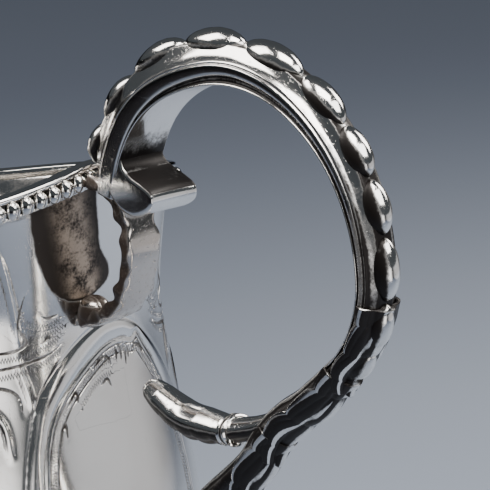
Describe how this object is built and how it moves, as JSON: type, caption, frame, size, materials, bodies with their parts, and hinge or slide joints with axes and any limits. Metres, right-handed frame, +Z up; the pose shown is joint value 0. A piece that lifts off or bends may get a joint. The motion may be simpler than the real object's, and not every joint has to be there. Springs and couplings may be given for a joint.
{
  "type": "cream jug",
  "caption": "Pear-shaped silver cream jug on a domed foot, with a beaded wavy rim, pulled spout and a cast flying-scroll handle with lobes and leaves.",
  "frame": {"origin": "centre of the circle that the foot stands on, on the body's axis", "axes": "+Z up the body's axis, +X towards the handle, -X towards the spout, +Y to the side"},
  "size_m": [0.1372, 0.071, 0.1359],
  "materials": {
    "polished_body": "mirror-polished sterling silver with chased and wriggle-work decoration",
    "rim_silver": "polished silver with dark tarnish between the beads",
    "handle_silver": "cast silver, burnished on the high places, dark in the hollows",
    "as_cast_silver": "cast silver left from the mould, pitted, brown tarnish",
    "foot_silver": "polished silver"
  },
  "bodies": {
    "root": {"body_shell": "polished_body", "rim_lip": "rim_silver", "rim_beads": "rim_silver", "rim_fillet_wire": "rim_silver", "handle_strap": "handle_silver", "handle_roll": "handle_silver", "spine_lobes": "handle_silver", "leaf_upper": "handle_silver", "leaf_lower": "handle_silver", "inner_curl": "handle_silver", "curl_collar": "handle_silver", "handle_stem": "handle_silver", "stem_leaf": "handle_silver", "lower_volute": "handle_silver", "joint_plate": "as_cast_silver", "upper_bracket": "as_cast_silver", "bracket_toe": "as_cast_silver", "foot_collar": "foot_silver", "foot_dome": "foot_silver", "foot_beads": "foot_silver", "foot_base_ring": "foot_silver"}
  },
  "joints": []
}
